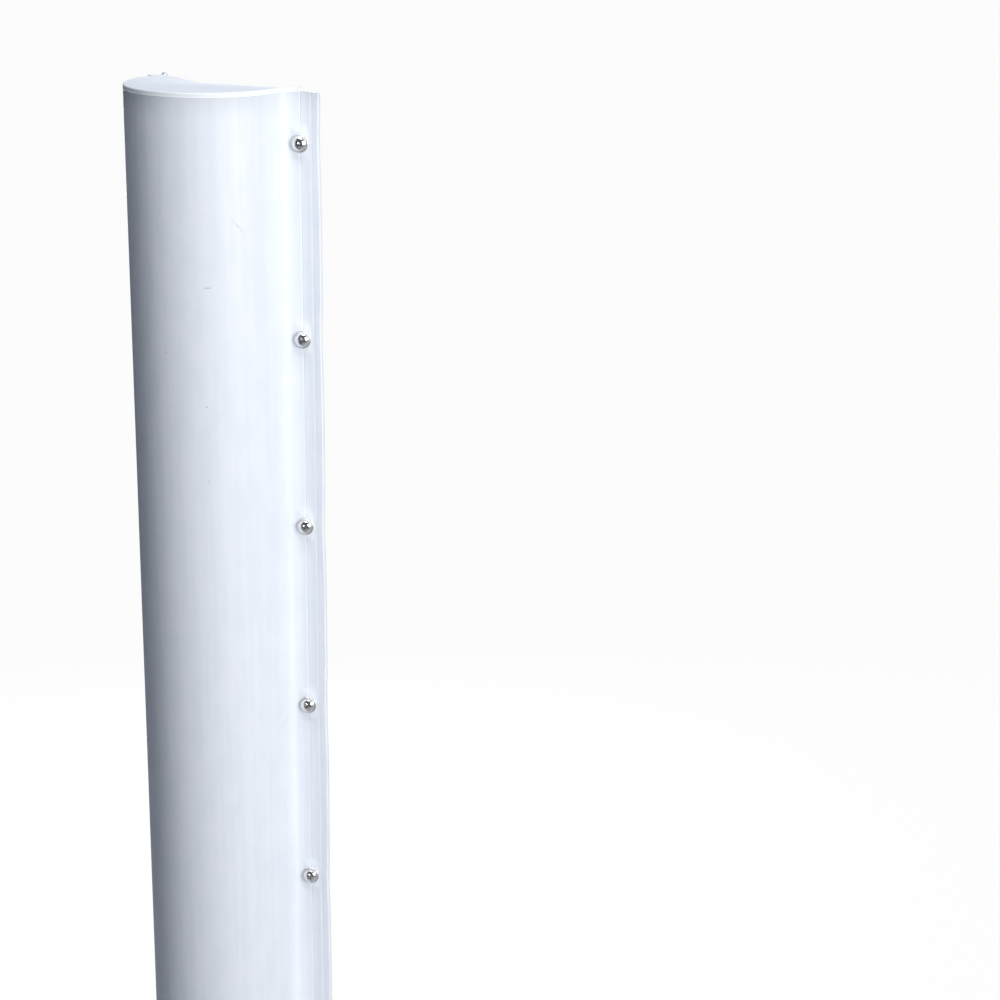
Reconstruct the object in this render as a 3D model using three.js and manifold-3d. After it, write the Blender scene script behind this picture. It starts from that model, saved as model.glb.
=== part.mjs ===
// Piling bumper: a white vinyl extrusion with a rounded bulge and two fixing flanges,
// closed at its top end by a flat welded cap, and held by two rows of screws with washers.
// Millimetres. +Z runs along the length and the bulge points to -Y. The section is drawn
// with the face that it is fixed to at y = 0, and then moved so that the origin is at the
// middle of the bumper's bottom end, screws included.

import * as THREE from 'three';
import * as BufferGeometryUtils from 'three/addons/utils/BufferGeometryUtils.js';
import Module from 'manifold-3d';

// Extrusion
const extrusionLength = 1828.8;
const overallWidth = 203.2;
const sheetThickness = 3.5;
const bulgeCentreDepth = 33;

// Bend where each flange leaves the wall, the straight slope after it, and the waist
const creaseFromEdge = 20.3;
const bulgeInsideCrease = 8.3;
const bendRadius = 20;
const slopeAngle = THREE.MathUtils.degToRad(45);
const waistRadius = 8;

// Fine lines that the die leaves on the outer face
const creaseGrooveWidth = 1.2;
const creaseGrooveDepth = 0.35;
const edgeGrooveFromEdge = 8;
const edgeGrooveWidth = 3.4;
const edgeGrooveDepth = 0.45;

// End cap
const capThickness = 4;
const capNotchDepth = 39;

// Fastener rows
const screwPitch = 174;
const screwEndMargin = 44.4;
const clearance = 0.3;

// Washer
const washerRadius = 8;
const washerThickness = 1.3;

// Screw
const shankRadius = 2.4;
const shankLength = 38;
const pointLength = 6;
const headRadius = 6;
const headRimHeight = 1.1;
const headHeight = 4.2;

// Facets
const bendSteps = 3;
const waistSteps = 4;
const bulgeSteps = 22;
const domeSteps = 4;
const screwSides = 12;
const washerSides = 16;

// Places on the section that follow from the sizes above
const crease = overallWidth / 2 - creaseFromEdge;
const bulgeRadius = crease - bulgeInsideCrease;
const bendStart = crease + bendRadius * Math.tan(slopeAngle / 2);
const bendCentre = new THREE.Vector2(bendStart, -sheetThickness - bendRadius);
const bulgeCentre = new THREE.Vector2(0, -bulgeCentreDepth);
const bendFrom = Math.PI / 2;
const bendTo = bendFrom + slopeAngle;
const bendMiddle = (bendFrom + bendTo) / 2;
const seat = pointOnArc(bendCentre, bendRadius, bendMiddle);
const waistCentre = findWaistCentre();
const waistTo = Math.atan2(bulgeCentre.y - waistCentre.y, bulgeCentre.x - waistCentre.x) + 2 * Math.PI;
const holeRadius = shankRadius + clearance;

const vinyl = new THREE.MeshStandardMaterial({ color: 0xe9eff6, roughness: 0.42, metalness: 0 });
const capVinyl = new THREE.MeshStandardMaterial({ color: 0xdfe6ee, roughness: 0.5, metalness: 0 });
const steel = new THREE.MeshStandardMaterial({ color: 0xb9b7b6, roughness: 0.22, metalness: 1 });

// The waist's arc touches the straight slope on one side and the bulge on the other.
function findWaistCentre() {
  const along = new THREE.Vector2(-Math.cos(slopeAngle), -Math.sin(slopeAngle));
  const outward = new THREE.Vector2(Math.sin(slopeAngle), -Math.cos(slopeAngle));
  const slopeStart = pointOnArc(bendCentre, bendRadius, bendTo);
  const first = slopeStart.clone().addScaledVector(outward, waistRadius);
  const fromBulge = first.clone().sub(bulgeCentre);
  const reach = bulgeRadius + waistRadius;
  const half = -fromBulge.dot(along);
  const slopeLength = half - Math.sqrt(half * half - fromBulge.lengthSq() + reach * reach);
  return first.addScaledVector(along, slopeLength);
}

function pointOnArc(centre, radius, angle) {
  return new THREE.Vector2(centre.x + radius * Math.cos(angle), centre.y + radius * Math.sin(angle));
}

function arc(centre, radius, from, to, steps) {
  const points = [];
  for (let step = 0; step <= steps; step += 1) {
    points.push(pointOnArc(centre, radius, from + (to - from) * step / steps));
  }
  return points;
}

// Right half of the waist and bulge, up to the nose, at a depth in from the outer face.
function bulgeHalf(depth) {
  return [
    ...arc(waistCentre, waistRadius + depth, bendTo, waistTo, waistSteps),
    ...arc(bulgeCentre, bulgeRadius - depth, waistTo - Math.PI, -Math.PI / 2, bulgeSteps).slice(1),
  ];
}

// Right half of the outer face, from the flange's edge to the nose, with its two die lines.
function outerHalf() {
  const edge = overallWidth / 2;
  const groove = edge - edgeGrooveFromEdge;
  const halfAngle = creaseGrooveWidth / 2 / bendRadius;
  return [
    new THREE.Vector2(edge, -sheetThickness),
    new THREE.Vector2(groove + edgeGrooveWidth / 2, -sheetThickness),
    new THREE.Vector2(groove, -sheetThickness + edgeGrooveDepth),
    new THREE.Vector2(groove - edgeGrooveWidth / 2, -sheetThickness),
    ...arc(bendCentre, bendRadius, bendFrom, bendMiddle - halfAngle, bendSteps),
    pointOnArc(bendCentre, bendRadius + creaseGrooveDepth, bendMiddle),
    ...arc(bendCentre, bendRadius, bendMiddle + halfAngle, bendTo, bendSteps),
    ...bulgeHalf(0),
  ];
}

// Right half of the back face, from the flange's edge to the inside of the nose.
function innerHalf() {
  return [
    new THREE.Vector2(overallWidth / 2, 0),
    ...arc(bendCentre, bendRadius + sheetThickness, bendFrom, bendTo, 2 * bendSteps),
    ...bulgeHalf(sheetThickness),
  ];
}

// A half outline that ends on the middle line, joined to its mirror image.
function mirrored(half) {
  const other = half.slice(0, -1).reverse().map((point) => new THREE.Vector2(-point.x, point.y));
  return [...half, ...other];
}

function extrude(outline, length) {
  return new THREE.ExtrudeGeometry(new THREE.Shape(outline), { depth: length, bevelEnabled: false });
}

function sectionOutline() {
  return [...mirrored(outerHalf()), ...mirrored(innerHalf()).reverse()];
}

// The cap covers the end from bend to bend, and a shallow V is cut out of its back edge.
function capOutline() {
  const outer = [
    ...arc(bendCentre, bendRadius, bendMiddle, bendTo, bendSteps),
    ...bulgeHalf(0),
  ];
  const back = [
    ...arc(bendCentre, bendRadius + sheetThickness, bendMiddle, bendTo, bendSteps),
    ...arc(waistCentre, waistRadius + sheetThickness, bendTo, Math.PI, waistSteps),
    new THREE.Vector2(0, -capNotchDepth),
  ];
  return [...mirrored(outer), ...mirrored(back).reverse()];
}

// How far the bend's outer face rises at a distance from the line where the screws stand.
function riseOfBend(distance) {
  const arcEnd = bendRadius * Math.sin(slopeAngle / 2);
  if (distance <= arcEnd) {
    return bendRadius - Math.sqrt(bendRadius * bendRadius - distance * distance);
  }
  const arcRise = bendRadius * (1 - Math.cos(slopeAngle / 2));
  return arcRise + (distance - arcEnd) * Math.tan(slopeAngle / 2);
}

// Turned parts, about +Z. Each profile starts and ends on the axis, or closes on itself.
function turn(points, sides) {
  return new THREE.LatheGeometry(points, sides).rotateX(Math.PI / 2);
}

const washerBottom = riseOfBend(washerRadius) + clearance;
const headBottom = washerBottom + washerThickness + clearance;

function washerGeometry() {
  const top = washerBottom + washerThickness;
  const profile = [
    new THREE.Vector2(holeRadius, washerBottom),
    new THREE.Vector2(washerRadius, washerBottom),
    new THREE.Vector2(washerRadius, top),
    new THREE.Vector2(holeRadius, top),
    new THREE.Vector2(holeRadius, washerBottom),
  ];
  return turn(profile, washerSides);
}

function screwGeometry() {
  const rim = headBottom + headRimHeight;
  const domeHeight = headHeight - headRimHeight;
  const profile = [
    new THREE.Vector2(0, headBottom - shankLength),
    new THREE.Vector2(shankRadius, headBottom - shankLength + pointLength),
    new THREE.Vector2(shankRadius, headBottom),
    new THREE.Vector2(headRadius, headBottom),
  ];
  for (let step = 0; step <= domeSteps; step += 1) {
    const angle = Math.PI / 2 * step / domeSteps;
    const radius = step === domeSteps ? 0 : headRadius * Math.cos(angle);
    profile.push(new THREE.Vector2(radius, rim + domeHeight * Math.sin(angle)));
  }
  return turn(profile, screwSides);
}

// Where each screw stands: on the middle of the bend, square to its outer face.
function fastenerPlaces() {
  const count = Math.round((extrusionLength - 2 * screwEndMargin) / screwPitch) + 1;
  const places = [];
  for (const [side, sign] of [['right', 1], ['left', -1]]) {
    for (let row = 0; row < count; row += 1) {
      const place = new THREE.Group();
      place.position.set(sign * seat.x, seat.y, extrusionLength - screwEndMargin - row * screwPitch);
      aimOutward(place, sign);
      place.updateMatrixWorld();
      places.push({ label: `${side}_${String(row + 1).padStart(2, '0')}`, place });
    }
  }
  return places;
}

// Turns a place so that its +Z points away from the vinyl and its +Y up the bumper.
function aimOutward(place, sign) {
  const lean = bendMiddle - bendFrom;
  const outward = new THREE.Vector3(sign * Math.sin(lean), -Math.cos(lean), 0);
  const up = new THREE.Vector3(0, 0, 1);
  const across = new THREE.Vector3().crossVectors(up, outward);
  place.quaternion.setFromRotationMatrix(new THREE.Matrix4().makeBasis(across, up, outward));
}

const wasm = await Module();
wasm.setup();

function toSolid(geometry) {
  const bare = geometry.index ? geometry.toNonIndexed() : geometry.clone();
  bare.deleteAttribute('normal');
  bare.deleteAttribute('uv');
  const merged = BufferGeometryUtils.mergeVertices(bare, 1e-4);
  return new wasm.Manifold(new wasm.Mesh({
    numProp: 3,
    vertProperties: new Float32Array(merged.attributes.position.array),
    triVerts: new Uint32Array(merged.index.array),
  }));
}

function toGeometry(solid) {
  const mesh = solid.getMesh();
  const geometry = new THREE.BufferGeometry();
  geometry.setAttribute('position', new THREE.BufferAttribute(mesh.vertProperties, 3));
  geometry.setIndex(new THREE.BufferAttribute(mesh.triVerts, 1));
  geometry.computeVertexNormals();
  return geometry;
}

// The extrusion is drilled for every screw, square to the bend.
function drilledExtrusion(places) {
  let solid = toSolid(extrude(sectionOutline(), extrusionLength));
  const drillLength = 4 * sheetThickness;
  for (const { place } of places) {
    const drill = new THREE.CylinderGeometry(holeRadius, holeRadius, drillLength, screwSides);
    drill.rotateX(Math.PI / 2);
    drill.applyMatrix4(place.matrixWorld);
    solid = solid.subtract(toSolid(drill));
  }
  return toGeometry(solid);
}

function addPiece(parent, name, geometry, material) {
  const mesh = new THREE.Mesh(geometry, material);
  mesh.name = name;
  parent.add(mesh);
  return mesh;
}

// How far the screws' points reach behind the flanges.
function screwReach() {
  return seat.y + (shankLength - headBottom) * Math.cos(bendMiddle - bendFrom);
}

const bumper = new THREE.Group();
const places = fastenerPlaces();
bumper.position.y = (bulgeCentreDepth + bulgeRadius - screwReach()) / 2;

addPiece(bumper, 'bumper_extrusion', drilledExtrusion(places), vinyl);

const cap = addPiece(bumper, 'end_cap', extrude(capOutline(), capThickness), capVinyl);
cap.position.z = extrusionLength;

for (const { label, place } of places) {
  addPiece(place, `${label}_washer`, washerGeometry(), steel);
  addPiece(place, `${label}_screw`, screwGeometry(), steel);
  bumper.add(place);
}

export default bumper;
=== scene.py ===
# Piling bumper: a satin white vinyl extrusion with a welded end cap, and two rows of
# stainless pan-head screws with washers. The vinyl, the cap and the fasteners are rebuilt
# as fine meshes in the places that the frame gives. Lengths are in millimetres until
# to_metres, and the section is drawn with the wall plane at y = 0. Lamps and the camera
# are in metres and degrees.

import math
import random
from contextlib import contextmanager

import bpy
import bmesh
import numpy as np
from mathutils import Matrix, Vector


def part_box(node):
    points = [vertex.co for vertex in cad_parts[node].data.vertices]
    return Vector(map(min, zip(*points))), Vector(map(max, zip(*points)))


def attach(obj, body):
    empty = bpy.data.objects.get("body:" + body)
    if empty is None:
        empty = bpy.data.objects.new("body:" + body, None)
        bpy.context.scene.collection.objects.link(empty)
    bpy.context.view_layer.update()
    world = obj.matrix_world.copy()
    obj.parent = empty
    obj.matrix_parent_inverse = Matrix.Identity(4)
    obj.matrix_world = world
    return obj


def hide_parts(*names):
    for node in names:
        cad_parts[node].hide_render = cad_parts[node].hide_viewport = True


MM = 0.001

# Edges shorter than this, in metres, are closed up after a boolean step
SLIVER = 2e-6

# Section of the extrusion
SHEET = 3.5
BULGE_CENTRE_DEPTH = 33.0
BULGE_INSIDE_CREASE = 8.3
CREASE_FROM_EDGE = 20.3
BEND_RADIUS = 20.0
SLOPE = math.radians(45)
WAIST_RADIUS = 8.0
EDGE_ROUNDING = 0.8

# Lines that the die leaves on the outer face
CREASE_LINE_WIDTH = 1.3
CREASE_LINE_DEPTH = 0.4
EDGE_LINE_FROM_EDGE = 8.0
EDGE_LINE_WIDTH = 3.6
EDGE_LINE_DEPTH = 0.42

# Rings that soften the edges of the two cut ends: distance from the end, and inset
BOTTOM_END_RINGS = [(0.0, 0.15), (0.2, 0.0)]
TOP_END_RINGS = [(0.4, 0.0), (0.1, 0.12), (0.0, 0.4)]

# Cap
CAP_NOTCH_DEPTH = 39.0
CAP_ROUNDING = 1.6
CAP_ROUNDING_STEPS = 5

# Fasteners
SCREW_PITCH = 174.0
SCREW_END_MARGIN = 44.4
SCREW_COUNT = 11
CLEARANCE = 0.3
WASHER_RADIUS = 8.0
WASHER_THICKNESS = 1.3
WASHER_ROUNDING = 0.35
WASHER_ROUNDING_MIDDLE = 0.3 * WASHER_ROUNDING
WASHER_BORE_EDGE = 0.1
SHANK_RADIUS = 2.4
SHANK_LENGTH = 38.0
SHANK_IN_HEAD = 0.5
PLAIN_SHANK = 5.0
POINT_LENGTH = 6.0
POINT_BLUNTNESS = 0.06
THREAD_PITCH = 1.8
THREAD_DEPTH = 0.75
THREAD_FLANK = 0.7
HEAD_RADIUS = 6.3
HEAD_RIM = 1.1
HEAD_RIM_EDGE = 0.2
HEAD_HEIGHT = 4.2
RECESS_DEPTH = 2.5
RECESS_CLEAR = 0.8
RECESS_BOTTOM_REACH = 1.1
RECESS_BOTTOM_HALF_WIDTH = 0.35
RECESS_TOP_REACH = 3.3
RECESS_TOP_HALF_WIDTH = 0.72
DRILL_FRONT = 6.0
DRILL_BACK = 12.0

# The flat pad under each washer, and the pull on the flange's edge beside it
PAD_REACH = 18.0
PAD_FADE = 9.0
PAD_CLEARANCE = 0.1
EDGE_PULL = 1.1
EDGE_PULL_REACH = 30.0

# Fineness of the meshes
FLANGE_POINTS = 18
BEND_POINTS = 31
WAIST_POINTS = 8
BULGE_POINTS = 38
TIP_POINTS = 4
COARSE_STATIONS = 96
SCREW_STATIONS = 15
SMALLEST_STEP = 1.2
CAP_BEND_POINTS = 10
CAP_WAIST_POINTS = 12
CAP_INNER_WAIST_POINTS = 8
CAP_BULGE_POINTS = 60
DRILL_SIDES = 24
WASHER_SIDES = 56
HEAD_SIDES = 48
DOME_STEPS = 12
THREAD_SIDES = 20
THREAD_RINGS_PER_TURN = 6

# Wear on the outer face: distance round the sheet from the nose, height, half length,
# half width, angle to the horizontal in degrees, and strength
WEAR_MARKS = [
    (75.0, 1722.5, 7.0, 1.5, -52, 0.10),
    (78.5, 1718.5, 2.6, 0.9, -45, 0.30),
    (82.0, 1714.5, 5.5, 1.1, -48, 0.18),
    (51.0, 1665.4, 4.6, 0.8, 0, 0.42),
    (47.5, 1559.3, 0.9, 1.3, 20, 0.50),
    (47.0, 1491.6, 1.3, 1.1, 0, 0.22),
    (10.6, 1606.0, 1.1, 1.1, 0, 0.35),
    (16.5, 1574.0, 0.9, 0.9, 0, 0.30),
    (48.0, 1728.0, 0.9, 1.2, 0, 0.18),
    (121.0, 1250.0, 12.5, 0.7, 25, 0.12),
    (-40.0, 1210.0, 9.0, 0.8, -30, 0.16),
    (22.0, 820.0, 6.0, 0.9, 15, 0.20),
    (65.0, 610.0, 1.2, 1.2, 0, 0.30),
    (-18.0, 402.0, 8.0, 0.7, 60, 0.16),
    (-95.0, 980.0, 1.4, 1.0, 0, 0.30),
]

# The part of a wear mark, out from its middle, that has its full strength
WEAR_CORE = 0.2

# How far the vinyl's patterns are drawn out along its length, and how strongly they show
STREAK_HEIGHT_SCALE = 0.025
MOTTLE_HEIGHT_SCALE = 0.5
STREAK_SHARE = 0.5
MOTTLE_SHARE = 0.5
DIE_LINE_SHARE = 0.08
GRAIN_SHARE = 0.10

# Depth under the cap's top face over which the painted highlight on its rim turns into the plate's
# colour
CAP_RIM_HIGHLIGHT_FADE = (0.5, 0.05)

# How much the roughness varies over the vinyl and over the steel
VINYL_UNEVENNESS = 0.14
STEEL_UNEVENNESS = 0.14

# Colours
PALE_VINYL = (0.856, 0.899, 0.962, 1)
DEEP_VINYL = (0.812, 0.866, 0.944, 1)
DIE_LINE = (0.70, 0.76, 0.86, 1)
WEAR = (0.16, 0.15, 0.17, 1)
PALE_CAP = (0.83, 0.88, 0.95, 1)
DEEP_CAP = (0.79, 0.85, 0.93, 1)
# Painted highlight: the colour of the cap's sides and rounded rim, whiter than its top face
CAP_RIM_HIGHLIGHT = (0.89, 0.93, 0.98, 1)
PALE_STEEL = (0.88, 0.87, 0.86, 1)
DEEP_STEEL = (0.74, 0.73, 0.72, 1)
SKY = (0.68, 0.78, 1.0, 1)
FLOOR = (0.42, 0.43, 0.45, 1)
WHITE = (1, 1, 1, 1)

# Camera: its place is measured from the wall plane and from the sheet's top end
CAMERA_AZIMUTH = 36.38
CAMERA_ELEVATION = 16.9
CAMERA_ROLL = 0.527
CAMERA_RIGHT = 1.4494
CAMERA_OUT = 1.5642
CAMERA_ABOVE_SHEET = 0.2615
LENS = 85.72
SENSOR_WIDTH = 36.0

# Lamps and floor
LAMP_TARGET = Vector((0, 0, 1.3))
FLANGE_LAMP_AZIMUTH = 6
FLANGE_LAMP_DISTANCE = 0.55
FLANGE_LAMP_TARGET_RIGHT = 0.097
FLANGE_LAMP_TARGET_HEIGHT = 1.0
FLANGE_LAMP_WIDTH = 0.026
FLANGE_LAMP_HEIGHT = 2.1
FLANGE_LAMP_POWER = 0.039
FLANGE_LAMP_SPREAD = 3.5
SKY_STRENGTH = 0.10
FLOOR_GLOW = 1.02
FLOOR_GLOW_SHARE = 0.95
FLOOR_HALF_SIZE = 30.0

# Frame
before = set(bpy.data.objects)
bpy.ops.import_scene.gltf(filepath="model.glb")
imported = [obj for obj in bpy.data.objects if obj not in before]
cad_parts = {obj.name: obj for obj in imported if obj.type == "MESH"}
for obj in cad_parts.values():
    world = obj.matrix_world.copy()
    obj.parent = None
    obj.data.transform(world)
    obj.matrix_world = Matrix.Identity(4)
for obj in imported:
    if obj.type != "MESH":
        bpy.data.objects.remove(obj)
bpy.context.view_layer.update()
sheet_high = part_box("bumper_extrusion")[1]
cap_low, cap_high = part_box("end_cap")
WALL_Y = sheet_high.y
HALF_WIDTH = sheet_high.x / MM
LENGTH = sheet_high.z / MM

CREASE = HALF_WIDTH - CREASE_FROM_EDGE
BULGE_RADIUS = CREASE - BULGE_INSIDE_CREASE
BEND_START = CREASE + BEND_RADIUS * math.tan(SLOPE / 2)
BEND_CENTRE = np.array([BEND_START, -SHEET - BEND_RADIUS])
BULGE_CENTRE = np.array([0.0, -BULGE_CENTRE_DEPTH])
BEND_FROM = math.pi / 2
BEND_TO = BEND_FROM + SLOPE
BEND_MIDDLE = (BEND_FROM + BEND_TO) / 2
LEAN = SLOPE / 2


def on_arc(centre, radius, angle):
    """Points on an arc, for one angle or an array of them."""
    angle = np.asarray(angle, float)
    return np.stack([centre[0] + radius * np.cos(angle), centre[1] + radius * np.sin(angle)], -1)


def find_waist_centre():
    """The waist's arc touches the straight slope and the bulge."""
    along = np.array([-math.cos(SLOPE), -math.sin(SLOPE)])
    outward = np.array([math.sin(SLOPE), -math.cos(SLOPE)])
    first = on_arc(BEND_CENTRE, BEND_RADIUS, BEND_TO) + outward * WAIST_RADIUS
    from_bulge = first - BULGE_CENTRE
    reach = BULGE_RADIUS + WAIST_RADIUS
    half = -from_bulge @ along
    slope_length = half - math.sqrt(half**2 - from_bulge @ from_bulge + reach**2)
    return first + along * slope_length


WAIST_CENTRE = find_waist_centre()
TO_BULGE = BULGE_CENTRE - WAIST_CENTRE
WAIST_TO = math.atan2(TO_BULGE[1], TO_BULGE[0]) + 2 * math.pi
SEAT = on_arc(BEND_CENTRE, BEND_RADIUS, BEND_MIDDLE)


def smooth_step(t):
    t = np.clip(t, 0, 1)
    return t * t * (3 - 2 * t)


def rise_of_bend(distance):
    """How far the bend's outer face rises at a distance from the line of the screws."""
    distance = np.abs(distance)
    arc_end = BEND_RADIUS * math.sin(LEAN)
    inside = BEND_RADIUS - np.sqrt(BEND_RADIUS**2 - np.minimum(distance, arc_end) ** 2)
    return inside + np.maximum(distance - arc_end, 0) * math.tan(LEAN)


WASHER_BOTTOM = float(rise_of_bend(WASHER_RADIUS)) + CLEARANCE
HEAD_BOTTOM = WASHER_BOTTOM + WASHER_THICKNESS + CLEARANCE


# Section
def half_section():
    """Outer and back points of the right half, in pairs from the flange's edge to the nose."""
    flat = np.linspace(HALF_WIDTH - EDGE_ROUNDING, BEND_START, FLANGE_POINTS)[:-1]
    from_line = np.abs(flat - (HALF_WIDTH - EDGE_LINE_FROM_EDGE))
    line = EDGE_LINE_DEPTH * smooth_step(1 - from_line / (EDGE_LINE_WIDTH / 2))
    outer = [np.stack([flat, -SHEET + line], -1)]
    inner = [np.stack([flat, 0 * flat], -1)]

    bend = np.linspace(BEND_FROM, BEND_TO, BEND_POINTS)
    from_crease = np.abs(bend - BEND_MIDDLE) * BEND_RADIUS
    crease = CREASE_LINE_DEPTH * smooth_step(1 - from_crease / (CREASE_LINE_WIDTH / 2))
    outer.append(on_arc(BEND_CENTRE, BEND_RADIUS + crease, bend))
    inner.append(on_arc(BEND_CENTRE, BEND_RADIUS + SHEET, bend))

    waist = np.linspace(BEND_TO, WAIST_TO, WAIST_POINTS)
    outer.append(on_arc(WAIST_CENTRE, WAIST_RADIUS, waist))
    inner.append(on_arc(WAIST_CENTRE, WAIST_RADIUS + SHEET, waist))

    bulge = np.linspace(WAIST_TO - math.pi, -math.pi / 2, BULGE_POINTS)[1:]
    outer.append(on_arc(BULGE_CENTRE, BULGE_RADIUS, bulge))
    inner.append(on_arc(BULGE_CENTRE, BULGE_RADIUS - SHEET, bulge))
    return np.concatenate(outer), np.concatenate(inner)


def flange_tip():
    """Points round the flange's edge, from the back face to the outer face."""
    turn = np.linspace(math.pi / 2, 0, TIP_POINTS)
    back = on_arc((HALF_WIDTH - EDGE_ROUNDING, -EDGE_ROUNDING), EDGE_ROUNDING, turn)[1:]
    front = back[::-1] * [1, -1] + [0, -SHEET]
    return np.concatenate([back, front])


def section_loop():
    """The whole section as one loop, with the distance round the sheet from the nose."""
    outer, inner = half_section()
    steps = np.linalg.norm(np.diff(outer[::-1], axis=0), axis=1)
    girth = np.concatenate([[0], np.cumsum(steps)])[::-1]
    tip = flange_tip()
    half = np.concatenate([inner[::-1], tip, outer])
    half_girth = np.concatenate([girth[::-1], np.full(len(tip), girth[0]), girth])
    other = half[1:-1][::-1] * [-1, 1]
    loop = np.concatenate([half, other])
    loop_girth = np.concatenate([half_girth, -half_girth[1:-1][::-1]])
    return loop, loop_girth, len(outer), len(tip)


def loop_normals(loop):
    """Normals of a loop that runs anticlockwise seen from above, pointing out of the sheet."""
    along = np.roll(loop, -1, 0) - np.roll(loop, 1, 0)
    normals = np.stack([along[:, 1], -along[:, 0]], -1)
    return normals / np.linalg.norm(normals, axis=1, keepdims=True)


def screw_heights():
    top = LENGTH - SCREW_END_MARGIN
    return np.array([top - SCREW_PITCH * row for row in range(SCREW_COUNT)])


def stations():
    """Heights of the section along the length, closer together round each screw."""
    heights = [np.linspace(0, LENGTH, COARSE_STATIONS)]
    for height in screw_heights():
        heights.append(height + np.linspace(-PAD_REACH, PAD_REACH, SCREW_STATIONS))
    merged = np.unique(np.round(np.concatenate(heights), 2))
    keep = [merged[0]]
    for height in merged[1:-1]:
        if height - keep[-1] > SMALLEST_STEP and LENGTH - height > SMALLEST_STEP:
            keep.append(height)
    return np.array(keep + [LENGTH])


def drawn_to_washers(points, height):
    """Lifts the bend to each washer's underside, and draws the flange's edge in beside it."""
    moved = points.copy()
    beside = np.abs(screw_heights() - height).min()
    pad = smooth_step((PAD_REACH - beside) / PAD_FADE)
    pull = math.exp(-((beside / EDGE_PULL_REACH) ** 2))
    for sign in (1, -1):
        outward = np.array([sign * math.sin(LEAN), -math.cos(LEAN)])
        across = np.array([sign * math.cos(LEAN), math.sin(LEAN)])
        from_seat = points - SEAT * [sign, 1]
        rise = rise_of_bend(from_seat @ across)
        lift = np.maximum(WASHER_BOTTOM - PAD_CLEARANCE - rise, 0) * pad
        on_outer_face = np.abs(from_seat @ outward - rise) < SHEET / 2
        moved += np.where(on_outer_face, lift, 0)[:, None] * outward
        flange = smooth_step((sign * points[:, 0] - BEND_START) / (HALF_WIDTH - BEND_START))
        moved[:, 0] -= sign * EDGE_PULL * pull * flange
    return moved


def to_metres(points, heights):
    """Section points at given heights, as points of the row frame."""
    out = np.empty((len(points), 3))
    out[:, :2] = points * MM
    out[:, 1] += WALL_Y
    out[:, 2] = heights * MM
    return out


# Mesh helpers
def new_object(name, vertices, faces):
    mesh = bpy.data.meshes.new(name)
    mesh.from_pydata([tuple(v) for v in vertices], [], faces)
    mesh.validate()
    obj = bpy.data.objects.new(name, mesh)
    bpy.context.scene.collection.objects.link(obj)
    return obj


@contextmanager
def editing(obj):
    """Opens an object's mesh for editing, and writes it back."""
    work = bmesh.new()
    work.from_mesh(obj.data)
    yield work
    work.to_mesh(obj.data)
    work.free()


def face_outward(obj):
    with editing(obj) as work:
        bmesh.ops.recalc_face_normals(work, faces=work.faces)


def smooth_by_angle(obj, degrees):
    obj.data.shade_smooth()
    limit = math.radians(degrees)
    with editing(obj) as work:
        for edge in work.edges:
            if len(edge.link_faces) == 2:
                edge.smooth = edge.calc_face_angle(0.0) < limit


def apply_modifiers(obj):
    graph = bpy.context.evaluated_depsgraph_get()
    made = bpy.data.meshes.new_from_object(obj.evaluated_get(graph))
    obj.modifiers.clear()
    obj.data = made


def combine(obj, other, operation):
    """Joins one closed object with another or cuts it by it, and removes the other."""
    step = obj.modifiers.new("combine", "BOOLEAN")
    step.operation = operation
    step.object = other
    step.solver = "MANIFOLD"
    apply_modifiers(obj)
    bpy.data.objects.remove(other)
    with editing(obj) as work:
        bmesh.ops.dissolve_degenerate(work, dist=SLIVER, edges=work.edges)


def turned(name, profile, sides):
    """A closed solid turned about +Z from a profile that starts and ends on the axis."""
    angles = np.linspace(0, 2 * math.pi, sides, endpoint=False)
    vertices = [(0, 0, profile[0][1])]
    for radius, height in profile[1:-1]:
        vertices += [(radius * math.cos(a), radius * math.sin(a), height) for a in angles]
    vertices.append((0, 0, profile[-1][1]))
    last = len(vertices) - 1
    rings = len(profile) - 2
    faces = []
    for side in range(sides):
        following = (side + 1) % sides
        faces.append((0, 1 + following, 1 + side))
        for ring in range(rings - 1):
            base = 1 + ring * sides
            above = base + sides
            faces.append((base + side, base + following, above + following, above + side))
        base = 1 + (rings - 1) * sides
        faces.append((base + side, base + following, last))
    obj = new_object(name, np.array(vertices) * MM, faces)
    face_outward(obj)
    return obj


def turned_ring(name, profile, sides):
    """A closed ring turned about +Z from a closed profile."""
    count = len(profile)
    vertices = []
    faces = []
    for side in range(sides):
        angle = 2 * math.pi * side / sides
        for radius, height in profile:
            vertices.append((radius * math.cos(angle), radius * math.sin(angle), height))
        here = side * count
        after = (side + 1) % sides * count
        for i in range(count):
            j = (i + 1) % count
            faces.append((here + i, after + i, after + j, here + j))
    obj = new_object(name, np.array(vertices) * MM, faces)
    face_outward(obj)
    return obj


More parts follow.
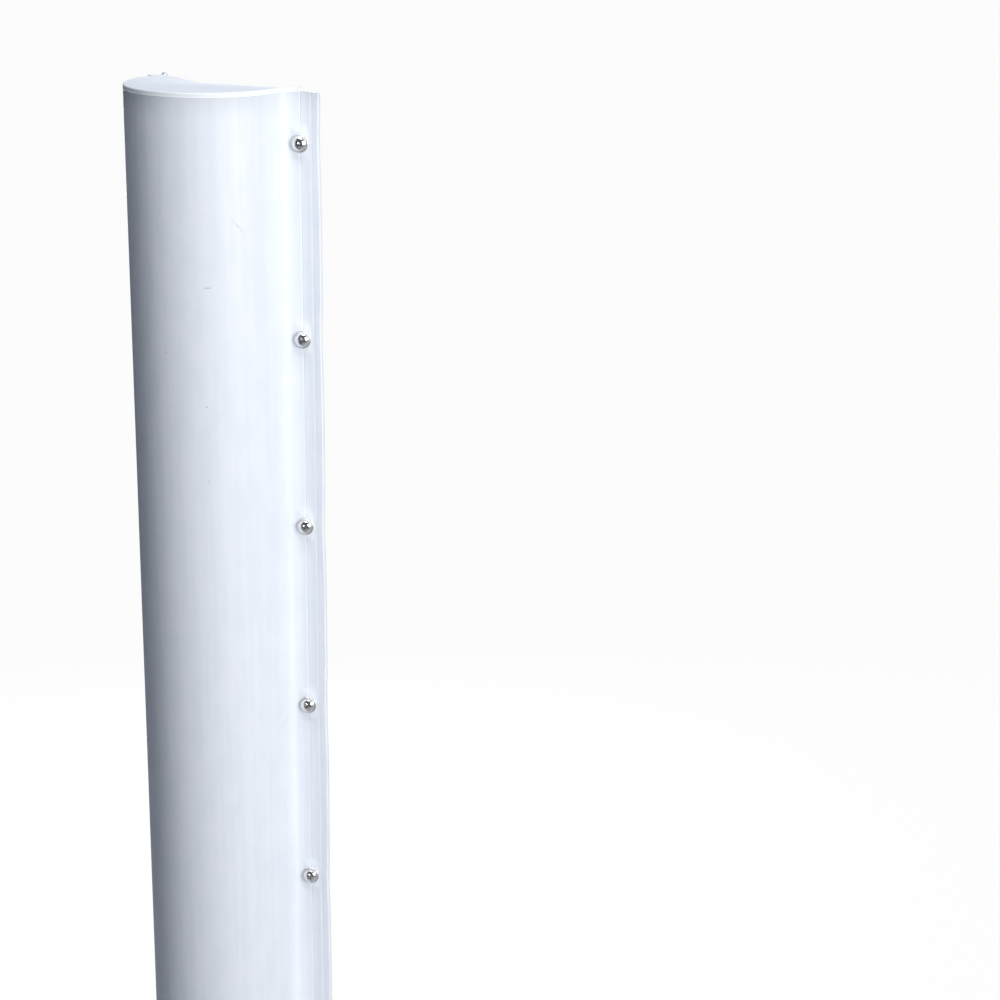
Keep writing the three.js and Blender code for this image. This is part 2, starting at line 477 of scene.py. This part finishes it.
# Material helpers
class Nodes:
    """Short calls for building one node tree."""

    def __init__(self, name):
        self.material = bpy.data.materials.new(name)
        self.material.use_nodes = True
        self.tree = self.material.node_tree
        self.shader = self.tree.nodes["Principled BSDF"]

    def add(self, kind, inputs=None, **settings):
        node = self.tree.nodes.new(kind)
        for key, value in settings.items():
            setattr(node, key, value)
        for key, value in (inputs or {}).items():
            self.set(node.inputs[key], value)
        return node

    def set(self, socket, value):
        if isinstance(value, bpy.types.NodeSocket):
            self.tree.links.new(value, socket)
        else:
            socket.default_value = value

    def math(self, operation, first, second):
        node = self.add("ShaderNodeMath", operation=operation)
        self.set(node.inputs[0], first)
        self.set(node.inputs[1], second)
        return node.outputs[0]

    def scaled(self, value, factor):
        return self.math("MULTIPLY", value, factor)

    def mix(self, factor, first, second):
        node = self.add("ShaderNodeMix", data_type="RGBA")
        self.set(node.inputs[0], factor)
        self.set(node.inputs[6], first)
        self.set(node.inputs[7], second)
        return node.outputs[2]

    def ramp(self, value, low, high):
        """A smooth rise from 0 to 1 between two values."""
        node = self.add("ShaderNodeMapRange", interpolation_type="SMOOTHSTEP")
        self.set(node.inputs["Value"], value)
        self.set(node.inputs["From Min"], low)
        self.set(node.inputs["From Max"], high)
        return node.outputs[0]

    def noise(self, place, scale, detail):
        node = self.add("ShaderNodeTexNoise", {"Vector": place, "Scale": scale, "Detail": detail})
        return node.outputs["Fac"]

    def bump(self, height, strength, distance):
        inputs = {"Height": height, "Strength": strength, "Distance": distance}
        self.set(self.shader.inputs["Normal"], self.add("ShaderNodeBump", inputs).outputs[0])


def add_wear(n, sheet, colour):
    """Darkens the colour in a small soft ellipse for each mark."""
    for girth, height, half_length, half_width, angle, strength in WEAR_MARKS:
        mark = n.add("ShaderNodeMapping", {"Vector": sheet}, vector_type="TEXTURE")
        mark.inputs["Location"].default_value = (girth * MM, height * MM, 0)
        mark.inputs["Rotation"].default_value = (0, 0, math.radians(angle))
        mark.inputs["Scale"].default_value = (half_length * MM, half_width * MM, 1)
        reach = n.add("ShaderNodeVectorMath", {0: mark.outputs[0]}, operation="LENGTH")
        inside = n.ramp(reach.outputs["Value"], 1.0, WEAR_CORE)
        colour = n.mix(n.scaled(inside, strength), colour, WEAR)
    return colour


def vinyl_material():
    """Satin white vinyl with lengthwise die streaks, soft mottling and a little wear."""
    n = Nodes("vinyl")
    girth = n.add("ShaderNodeAttribute", attribute_name="girth").outputs["Fac"]
    height = n.add("ShaderNodeAttribute", attribute_name="height").outputs["Fac"]
    sheet = n.add("ShaderNodeCombineXYZ", {"X": girth, "Y": height}).outputs[0]
    streak_height = n.scaled(height, STREAK_HEIGHT_SCALE)
    streak_place = n.add("ShaderNodeCombineXYZ", {"X": girth, "Y": streak_height}).outputs[0]
    streaks = n.noise(streak_place, scale=150.0, detail=3.0)
    lines = n.noise(streak_place, scale=620.0, detail=1.0)
    mottle_height = n.scaled(height, MOTTLE_HEIGHT_SCALE)
    mottle_place = n.add("ShaderNodeCombineXYZ", {"X": girth, "Y": mottle_height}).outputs[0]
    mottle = n.noise(mottle_place, scale=55.0, detail=3.0)
    grain = n.noise(sheet, scale=1100.0, detail=2.0)
    tone = n.math("ADD", n.scaled(streaks, STREAK_SHARE), n.scaled(mottle, MOTTLE_SHARE))
    colour = n.mix(n.ramp(tone, 0.38, 0.62), DEEP_VINYL, PALE_VINYL)
    colour = n.mix(n.scaled(n.ramp(lines, 0.58, 0.75), DIE_LINE_SHARE), colour, DIE_LINE)
    n.set(n.shader.inputs["Base Color"], add_wear(n, sheet, colour))
    n.set(n.shader.inputs["Roughness"], n.math("ADD", n.scaled(mottle, VINYL_UNEVENNESS), 0.42))
    n.shader.inputs["Specular IOR Level"].default_value = 0.4
    relief = n.math("ADD", streaks, n.scaled(grain, GRAIN_SHARE))
    n.bump(relief, strength=0.2, distance=0.0004)
    return n.material


def cap_material():
    """Matt white plate, with a painted highlight that makes its sides and rounded rim a little whiter
    than its top.
    """
    n = Nodes("cap_vinyl")
    place = n.add("ShaderNodeTexCoord").outputs["Object"]
    plate = n.mix(n.noise(place, scale=60.0, detail=4.0), DEEP_CAP, PALE_CAP)
    height = n.add("ShaderNodeSeparateXYZ", {"Vector": place}).outputs["Z"]
    # The sides and the rounding below the top face take the painted highlight colour, and the top face
    # takes the plate's colour
    rim_highlight_end, plate_start = [cap_high.z - depth * MM for depth in CAP_RIM_HIGHLIGHT_FADE]
    on_top = n.ramp(height, rim_highlight_end, plate_start)
    n.set(n.shader.inputs["Base Color"], n.mix(on_top, CAP_RIM_HIGHLIGHT, plate))
    n.shader.inputs["Roughness"].default_value = 0.68
    n.shader.inputs["Specular IOR Level"].default_value = 0.22
    n.bump(n.noise(place, scale=1400.0, detail=2.0), strength=0.12, distance=0.0003)
    return n.material


def steel_material(name, roughness):
    """Stainless steel with fine uneven wear."""
    n = Nodes(name)
    place = n.add("ShaderNodeTexCoord").outputs["Object"]
    wear = n.noise(place, scale=500.0, detail=4.0)
    n.set(n.shader.inputs["Base Color"], n.mix(wear, DEEP_STEEL, PALE_STEEL))
    n.shader.inputs["Metallic"].default_value = 1.0
    uneven = n.math("ADD", n.scaled(wear, STEEL_UNEVENNESS), roughness)
    n.set(n.shader.inputs["Roughness"], uneven)
    return n.material


# Pieces
def hand_over(obj, material, node):
    """Gives a finished piece its material, hangs it under the root body, and hides the CAD node that it
    stands for.
    """
    obj.data.materials.clear()
    obj.data.materials.append(material)
    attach(obj, "root")
    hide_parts(node)


def end_faces(pairs, tip, count):
    """Faces that close one end of the sheet, as indices round the loop."""
    outer_start = pairs + tip
    right = []
    for k in range(pairs - 1):
        inner = pairs - 1 - k
        outer = outer_start + k
        right.append((inner, outer, outer + 1, inner - 1))
    right.append(tuple(range(pairs - 1, outer_start + 1)))
    left = [tuple((count - i) % count for i in face[::-1]) for face in right]
    return right + left


def add_attribute(obj, name, values):
    attribute = obj.data.attributes.new(name, "FLOAT", "POINT")
    attribute.data.foreach_set("value", np.asarray(values, np.float32))


def make_extrusion(material):
    loop, girth, pairs, tip = section_loop()
    normals = loop_normals(loop)
    rows = list(BOTTOM_END_RINGS)
    rows += [(height, 0.0) for height in stations()[1:-1]]
    rows += [(LENGTH - distance, inset) for distance, inset in TOP_END_RINGS]
    count = len(loop)
    vertices = []
    for height, inset in rows:
        points = drawn_to_washers(loop, height) - normals * inset
        vertices.append(to_metres(points, np.full(count, height)))
    faces = []
    for row in range(len(rows) - 1):
        here = row * count
        above = here + count
        for i in range(count):
            j = (i + 1) % count
            faces.append((here + i, here + j, above + j, above + i))
    closing = end_faces(pairs, tip, count)
    top = (len(rows) - 1) * count
    faces += [face[::-1] for face in closing]
    faces += [tuple(top + i for i in face) for face in closing]
    obj = new_object("vinyl_extrusion", np.concatenate(vertices), faces)
    face_outward(obj)
    add_attribute(obj, "girth", np.tile(girth, len(rows)) * MM)
    add_attribute(obj, "height", np.repeat([height for height, inset in rows], count) * MM)
    combine(obj, drill_cutter(), "DIFFERENCE")
    smooth_by_angle(obj, 40)
    hand_over(obj, material, "bumper_extrusion")


def screw_places():
    """Name and placement of each screw: +Z along its axis, out of the vinyl."""
    places = []
    for side, sign in (("right", 1), ("left", -1)):
        outward = Vector((sign * math.sin(LEAN), -math.cos(LEAN), 0))
        across = Vector((0, 0, 1)).cross(outward)
        turn = Matrix((across, Vector((0, 0, 1)), outward)).transposed().to_4x4()
        for row, height in enumerate(screw_heights()):
            spot = Vector((sign * SEAT[0] * MM, SEAT[1] * MM + WALL_Y, height * MM))
            places.append((f"{side}_{row + 1:02d}", Matrix.Translation(spot) @ turn))
    return places


def drill_cutter():
    """One object of plain rods, where the screws pass through the vinyl."""
    radius = SHANK_RADIUS + CLEARANCE
    profile = [(0, -DRILL_BACK), (radius, -DRILL_BACK), (radius, DRILL_FRONT), (0, DRILL_FRONT)]
    rod = turned("rod", profile, DRILL_SIDES)
    work = bmesh.new()
    for name, place in screw_places():
        piece = rod.data.copy()
        piece.transform(place)
        work.from_mesh(piece)
        bpy.data.meshes.remove(piece)
    mesh = bpy.data.meshes.new("drill")
    work.to_mesh(mesh)
    work.free()
    cutter = bpy.data.objects.new("drill", mesh)
    bpy.context.scene.collection.objects.link(cutter)
    bpy.data.objects.remove(rod)
    return cutter


def cap_outline():
    """The cap's outline, with its shallow V at the back."""
    bend = np.linspace(BEND_MIDDLE, BEND_TO, CAP_BEND_POINTS)
    waist = np.linspace(BEND_TO, WAIST_TO, CAP_WAIST_POINTS)
    inner_waist = np.linspace(BEND_TO, math.pi, CAP_INNER_WAIST_POINTS)
    bulge = np.linspace(WAIST_TO - math.pi, -math.pi / 2, CAP_BULGE_POINTS)[1:]
    outer = np.concatenate([
        on_arc(BEND_CENTRE, BEND_RADIUS, bend),
        on_arc(WAIST_CENTRE, WAIST_RADIUS, waist),
        on_arc(BULGE_CENTRE, BULGE_RADIUS, bulge),
    ])
    back = np.concatenate([
        on_arc(BEND_CENTRE, BEND_RADIUS + SHEET, bend),
        on_arc(WAIST_CENTRE, WAIST_RADIUS + SHEET, inner_waist),
        [[0, -CAP_NOTCH_DEPTH]],
    ])
    right = np.concatenate([back[::-1], outer])
    left = right[1:-1][::-1] * [-1, 1]
    return np.concatenate([right, left])


def make_cap(material):
    outline = cap_outline()
    count = len(outline)
    bottom = to_metres(outline, np.full(count, cap_low.z / MM))
    top = to_metres(outline, np.full(count, cap_high.z / MM))
    faces = [tuple(range(count))[::-1], tuple(range(count, 2 * count))]
    for i in range(count):
        j = (i + 1) % count
        faces.append((i, j, count + j, count + i))
    obj = new_object("cap_plate", np.concatenate([bottom, top]), faces)
    face_outward(obj)
    middle = (cap_low.z + cap_high.z) / 2
    with editing(obj) as work:
        rim = [edge for edge in work.edges if all(vertex.co.z > middle for vertex in edge.verts)]
        bmesh.ops.bevel(
            work,
            geom=rim,
            offset=CAP_ROUNDING * MM,
            segments=CAP_ROUNDING_STEPS,
            profile=0.5,
            affect="EDGES",
            clamp_overlap=True,
        )
    smooth_by_angle(obj, 35)
    hand_over(obj, material, "end_cap")


def washer_master():
    """A flat washer with rounded outer edges."""
    bore = SHANK_RADIUS + CLEARANCE
    bore_edge = bore + WASHER_BORE_EDGE
    bottom = WASHER_BOTTOM
    top = WASHER_BOTTOM + WASHER_THICKNESS
    outer_edge = WASHER_RADIUS - WASHER_ROUNDING
    middle = WASHER_ROUNDING_MIDDLE
    profile = [
        (bore, bottom + WASHER_BORE_EDGE),
        (bore_edge, bottom),
        (outer_edge, bottom),
        (WASHER_RADIUS - middle, bottom + middle),
        (WASHER_RADIUS, bottom + WASHER_ROUNDING),
        (WASHER_RADIUS, top - WASHER_ROUNDING),
        (WASHER_RADIUS - middle, top - middle),
        (outer_edge, top),
        (bore_edge, top),
        (bore, top - WASHER_BORE_EDGE),
    ]
    washer = turned_ring("washer", profile, WASHER_SIDES)
    smooth_by_angle(washer, 50)
    return washer


def screw_master():
    """A pan-head screw with a cross recess and a coarse thread."""
    rim = HEAD_BOTTOM + HEAD_RIM
    dome = HEAD_HEIGHT - HEAD_RIM
    profile = [
        (0, HEAD_BOTTOM),
        (SHANK_RADIUS, HEAD_BOTTOM),
        (HEAD_RADIUS - HEAD_RIM_EDGE, HEAD_BOTTOM),
        (HEAD_RADIUS, HEAD_BOTTOM + HEAD_RIM_EDGE),
        (HEAD_RADIUS, rim - HEAD_RIM_EDGE),
    ]
    for step in range(1, DOME_STEPS):
        angle = math.pi / 2 * step / DOME_STEPS
        profile.append((HEAD_RADIUS * math.cos(angle), rim + dome * math.sin(angle)))
    profile.append((0, rim + dome))
    head = turned("head", profile, HEAD_SIDES)
    combine(head, threaded_shank(), "UNION")
    combine(head, cross_cutter(rim + dome), "DIFFERENCE")
    smooth_by_angle(head, 38)
    return head


def recess_blade(top, angle):
    """One tapered blade across the head's axis, turned by an angle."""
    turn = Matrix.Rotation(angle, 3, "Z")
    vertices = []
    for height, length, width in (
        (top - RECESS_DEPTH, RECESS_BOTTOM_REACH, RECESS_BOTTOM_HALF_WIDTH),
        (top + RECESS_CLEAR, RECESS_TOP_REACH, RECESS_TOP_HALF_WIDTH),
    ):
        for x, y in ((-length, -width), (length, -width), (length, width), (-length, width)):
            vertices.append(turn @ Vector((x, y, height)) * MM)
    faces = [(3, 2, 1, 0), (4, 5, 6, 7), (0, 1, 5, 4), (1, 2, 6, 5), (2, 3, 7, 6), (3, 0, 4, 7)]
    blade = new_object("blade", vertices, faces)
    face_outward(blade)
    return blade


def cross_cutter(top):
    """Two crossed tapered blades that cut the recess."""
    cutter = recess_blade(top, 0)
    combine(cutter, recess_blade(top, math.pi / 2), "UNION")
    return cutter


def thread_radius(height, around, point):
    """Radius of the thread at a height and a share of a turn, tapered to the point's height."""
    phase = (height / THREAD_PITCH - around) % 1.0
    crest = 1 - abs(2 * phase - 1)
    taper = min(1.0, (height - point) / POINT_LENGTH)
    return (SHANK_RADIUS - THREAD_DEPTH * (1 - crest**THREAD_FLANK)) * max(taper, POINT_BLUNTNESS)


def threaded_shank():
    """A plain neck and a threaded shank, as rings closed at both ends."""
    point = HEAD_BOTTOM - SHANK_LENGTH
    neck = HEAD_BOTTOM - PLAIN_SHANK
    rings = int((SHANK_LENGTH - PLAIN_SHANK) / THREAD_PITCH * THREAD_RINGS_PER_TURN)
    heights = [HEAD_BOTTOM + SHANK_IN_HEAD] + list(np.linspace(neck, point, rings))
    vertices = []
    for ring, height in enumerate(heights):
        for side in range(THREAD_SIDES):
            angle = 2 * math.pi * side / THREAD_SIDES
            radius = SHANK_RADIUS if ring == 0 else thread_radius(height, side / THREAD_SIDES, point)
            vertices.append((radius * math.cos(angle), radius * math.sin(angle), height))
    last = len(vertices) - THREAD_SIDES
    faces = [tuple(range(THREAD_SIDES)), tuple(range(last, len(vertices)))[::-1]]
    for ring in range(len(heights) - 1):
        here = ring * THREAD_SIDES
        below = here + THREAD_SIDES
        for side in range(THREAD_SIDES):
            following = (side + 1) % THREAD_SIDES
            faces.append((here + side, below + side, below + following, here + following))
    obj = new_object("thread", np.array(vertices) * MM, faces)
    face_outward(obj)
    return obj


def make_fasteners(screw_steel, washer_steel):
    washer = washer_master()
    screw = screw_master()
    rng = random.Random(7)
    for name, place in screw_places():
        spin = Matrix.Rotation(rng.uniform(0, math.pi / 2), 4, "Z")
        for kind, master, material in (("washer", washer, washer_steel), ("screw", screw, screw_steel)):
            obj = bpy.data.objects.new(f"{name}_steel_{kind}", master.data.copy())
            obj.data.transform(place @ spin)
            bpy.context.scene.collection.objects.link(obj)
            hand_over(obj, material, f"{name}_{kind}")
    bpy.data.objects.remove(washer)
    bpy.data.objects.remove(screw)


# Camera, light and surroundings
def direction(azimuth, elevation):
    """Unit vector from the bumper towards a place at an azimuth and elevation."""
    a = math.radians(azimuth)
    e = math.radians(elevation)
    return Vector((math.sin(a) * math.cos(e), -math.cos(a) * math.cos(e), math.sin(e)))


def place_camera():
    roll = math.radians(CAMERA_ROLL)
    back = direction(CAMERA_AZIMUTH, CAMERA_ELEVATION)
    right = Vector((0, 0, 1)).cross(back).normalized()
    up = back.cross(right)
    rolled_right = right * math.cos(roll) + up * math.sin(roll)
    rolled_up = up * math.cos(roll) - right * math.sin(roll)
    data = bpy.data.cameras.new("camera")
    data.sensor_width = SENSOR_WIDTH
    data.lens = LENS
    data.clip_start = 0.05
    data.clip_end = 60.0
    camera = bpy.data.objects.new("camera", data)
    turn = Matrix((rolled_right, rolled_up, back)).transposed().to_4x4()
    place = Vector((CAMERA_RIGHT, WALL_Y - CAMERA_OUT, sheet_high.z + CAMERA_ABOVE_SHEET))
    camera.matrix_world = Matrix.Translation(place) @ turn
    bpy.context.scene.collection.objects.link(camera)
    bpy.context.scene.camera = camera


def place_lamp(data, target, away, distance):
    """Puts a lamp at a distance from its target, facing it and hidden from the camera."""
    lamp = bpy.data.objects.new(data.name, data)
    lamp.location = target + away * distance
    lamp.rotation_euler = away.to_track_quat("Z", "Y").to_euler()
    lamp.visible_camera = False
    bpy.context.scene.collection.objects.link(lamp)


def round_lamp(name, azimuth, elevation, distance, size, power, colour):
    """A soft lamp that looks at the upper part of the bumper."""
    data = bpy.data.lights.new(name, "AREA")
    data.shape = "DISK"
    data.size = size
    data.energy = power
    data.color = colour
    place_lamp(data, LAMP_TARGET, direction(azimuth, elevation), distance)


def flange_lamp():
    """A tall narrow lamp with a tight beam, square to the right flange and its screws."""
    data = bpy.data.lights.new("flange", "AREA")
    data.shape = "RECTANGLE"
    data.size = FLANGE_LAMP_WIDTH
    data.size_y = FLANGE_LAMP_HEIGHT
    data.energy = FLANGE_LAMP_POWER
    data.spread = math.radians(FLANGE_LAMP_SPREAD)
    target = Vector((FLANGE_LAMP_TARGET_RIGHT, WALL_Y, FLANGE_LAMP_TARGET_HEIGHT))
    place_lamp(data, target, direction(FLANGE_LAMP_AZIMUTH, 0), FLANGE_LAMP_DISTANCE)


def make_world():
    """White where the camera looks, and a dim cool sky for all that lights the bumper."""
    world = bpy.data.worlds.new("surroundings")
    bpy.context.scene.world = world
    world.use_nodes = True
    tree = world.node_tree
    tree.nodes.clear()
    path = tree.nodes.new("ShaderNodeLightPath")
    white = tree.nodes.new("ShaderNodeBackground")
    white.inputs["Color"].default_value = WHITE
    sky = tree.nodes.new("ShaderNodeBackground")
    sky.inputs["Color"].default_value = SKY
    sky.inputs["Strength"].default_value = SKY_STRENGTH
    mix = tree.nodes.new("ShaderNodeMixShader")
    tree.links.new(path.outputs["Is Camera Ray"], mix.inputs[0])
    tree.links.new(sky.outputs[0], mix.inputs[1])
    tree.links.new(white.outputs[0], mix.inputs[2])
    out = tree.nodes.new("ShaderNodeOutputWorld")
    tree.links.new(mix.outputs[0], out.inputs[0])


def make_floor():
    """A plain floor that the camera sees as nearly white, with the bumper's faint shadow."""
    n = Nodes("floor")
    n.shader.inputs["Base Color"].default_value = FLOOR
    n.shader.inputs["Roughness"].default_value = 0.9
    glow = n.add("ShaderNodeEmission", {"Color": WHITE, "Strength": FLOOR_GLOW})
    path = n.add("ShaderNodeLightPath")
    share = n.scaled(path.outputs["Is Camera Ray"], FLOOR_GLOW_SHARE)
    mix = n.add("ShaderNodeMixShader", {0: share, 1: n.shader.outputs[0], 2: glow.outputs[0]})
    n.tree.links.new(mix.outputs[0], n.tree.nodes["Material Output"].inputs["Surface"])
    size = FLOOR_HALF_SIZE
    corners = [(-size, -size, 0), (size, -size, 0), (size, size, 0), (-size, size, 0)]
    floor = new_object("floor", corners, [(0, 1, 2, 3)])
    floor.data.materials.append(n.material)


place_camera()
vinyl = vinyl_material()
cap_vinyl = cap_material()
polished_steel = steel_material("polished_steel", roughness=0.12)
brushed_steel = steel_material("brushed_steel", roughness=0.30)
make_extrusion(vinyl)
make_cap(cap_vinyl)
make_fasteners(polished_steel, brushed_steel)
make_world()
make_floor()
round_lamp("key", azimuth=74, elevation=15, distance=3.2, size=1.8, power=82, colour=(1.0, 0.985, 0.965))
round_lamp("top", azimuth=45, elevation=79, distance=2.6, size=2.0, power=39, colour=(0.97, 0.985, 1.0))
flange_lamp()
round_lamp("back", azimuth=222, elevation=3, distance=3.4, size=1.4, power=105, colour=(0.95, 0.97, 1.0))
bpy.context.scene.view_settings.view_transform = "Standard"
